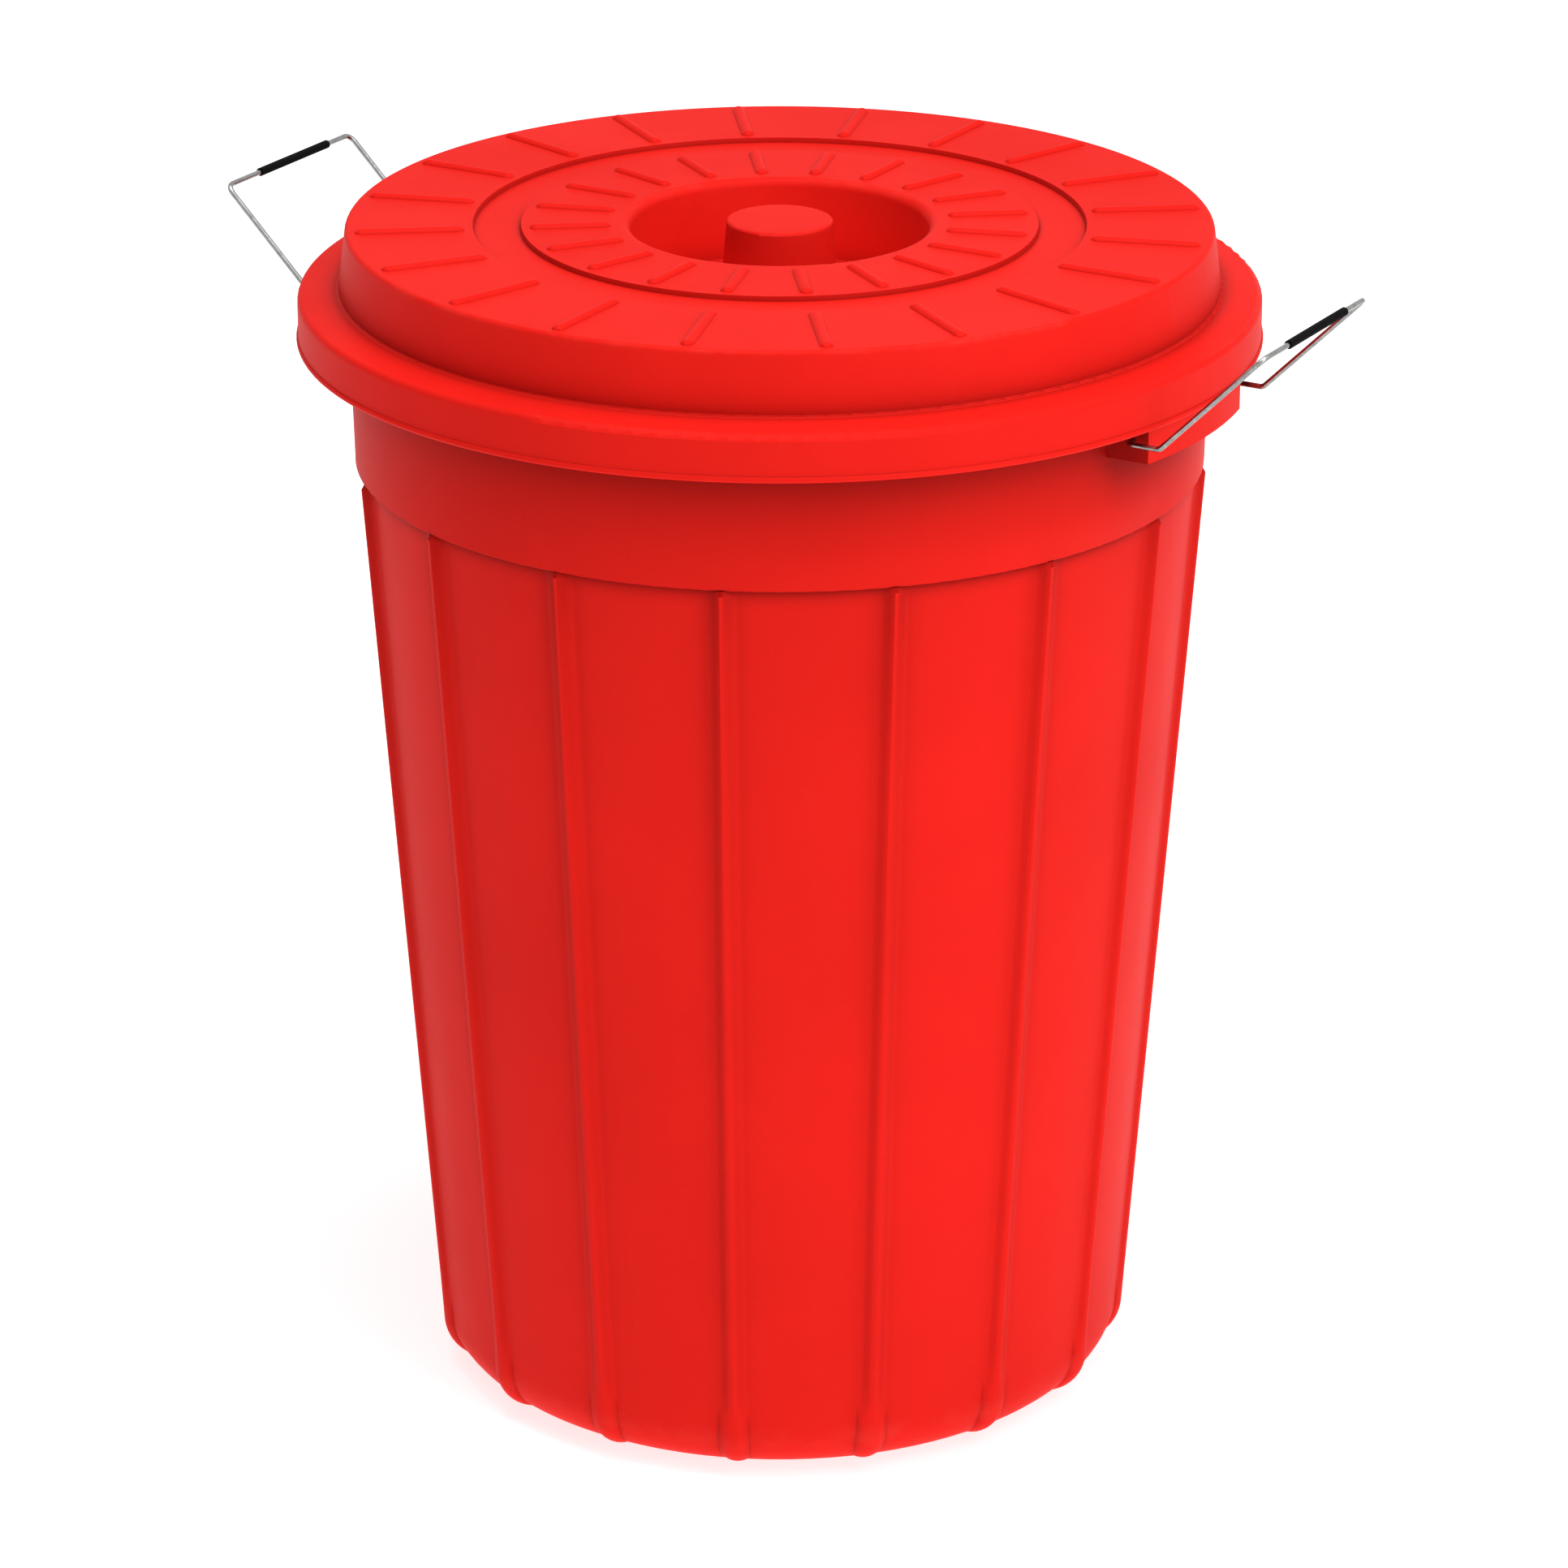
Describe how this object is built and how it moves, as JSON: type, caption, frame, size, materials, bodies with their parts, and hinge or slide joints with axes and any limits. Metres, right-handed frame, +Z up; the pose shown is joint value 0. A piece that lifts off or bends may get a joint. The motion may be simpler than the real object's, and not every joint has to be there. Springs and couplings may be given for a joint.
{
  "type": "plastic storage drum",
  "caption": "Round tapered plastic drum with a ribbed wall, a lift-off lid with a sunk knob, and swinging wire bail handles with sleeves.",
  "frame": {"origin": "middle of the base on the floor, under the drum's axis", "axes": "+Z up along the drum's axis; the bails stand on +X (right) and -X (left); -Y is the front"},
  "size_m": [0.74, 0.6024, 0.7654],
  "materials": {
    "drum_plastic": "red moulded polypropylene, satin gloss",
    "lid_plastic": "red moulded polypropylene, satin gloss",
    "wire": "bright galvanised steel wire",
    "sleeve": "black plastic sleeve"
  },
  "bodies": {
    "drum": {"drum_body": "drum_plastic"},
    "lid": {"lid": "lid_plastic"},
    "left_bail": {"left_bail": "wire"},
    "right_bail": {"right_bail": "wire"},
    "left_grip": {"left_grip": "sleeve"},
    "right_grip": {"right_grip": "sleeve"}
  },
  "joints": [
    {"name": "lid_lift", "type": "slide", "parent": "drum", "child": "lid", "axis": [0, 0, 1], "range_m": [0, 0.12]},
    {"name": "right_bail_swing", "type": "hinge", "parent": "drum", "child": "right_bail", "pos_m": [0.279, 0, 0.6835], "axis": [0, -1, 0], "range_deg": [-130, 25]},
    {"name": "left_bail_swing", "type": "hinge", "parent": "drum", "child": "left_bail", "pos_m": [-0.279, 0, 0.6835], "axis": [0, 1, 0], "range_deg": [-130, 25]},
    {"name": "right_grip_spin", "type": "hinge", "parent": "right_bail", "child": "right_grip", "pos_m": [0.36727, 0, 0.74997], "axis": [0, 1, 0], "continuous": true},
    {"name": "left_grip_spin", "type": "hinge", "parent": "left_bail", "child": "left_grip", "pos_m": [-0.36727, 0, 0.74997], "axis": [0, 1, 0], "continuous": true}
  ]
}
